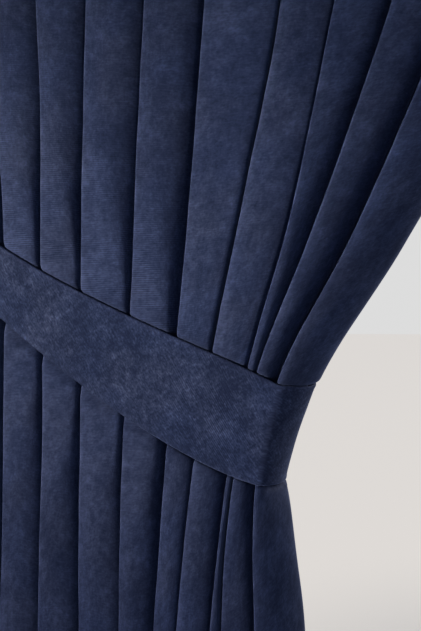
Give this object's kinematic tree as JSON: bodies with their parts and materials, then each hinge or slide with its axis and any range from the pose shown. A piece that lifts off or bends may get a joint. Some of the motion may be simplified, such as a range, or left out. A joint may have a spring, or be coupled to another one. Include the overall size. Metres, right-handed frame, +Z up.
{
  "type": "velvet drape with tieback",
  "caption": "A velvet drape that hangs in deep leaning folds from a gathered heading and is caught back to one side by a wide shaped tieback of the same cloth.",
  "frame": {"origin": "on the top edge of the drape, in the middle of the gathered heading", "axes": "+Z up, so the drape hangs down from z = 0; X runs across the drape, +X to its leading edge; the front of the cloth faces -Y"},
  "size_m": [0.9739, 0.0926, 2.4499],
  "materials": {
    "drape_velvet": "short suede-like velvet, deep navy, cloudy nap with fine cross ribs",
    "tieback_velvet": "the same navy velvet, doubled and stiffened, with fine ribs across the strip"
  },
  "bodies": {
    "root": {"drape": "drape_velvet", "tieback": "tieback_velvet"}
  },
  "joints": []
}
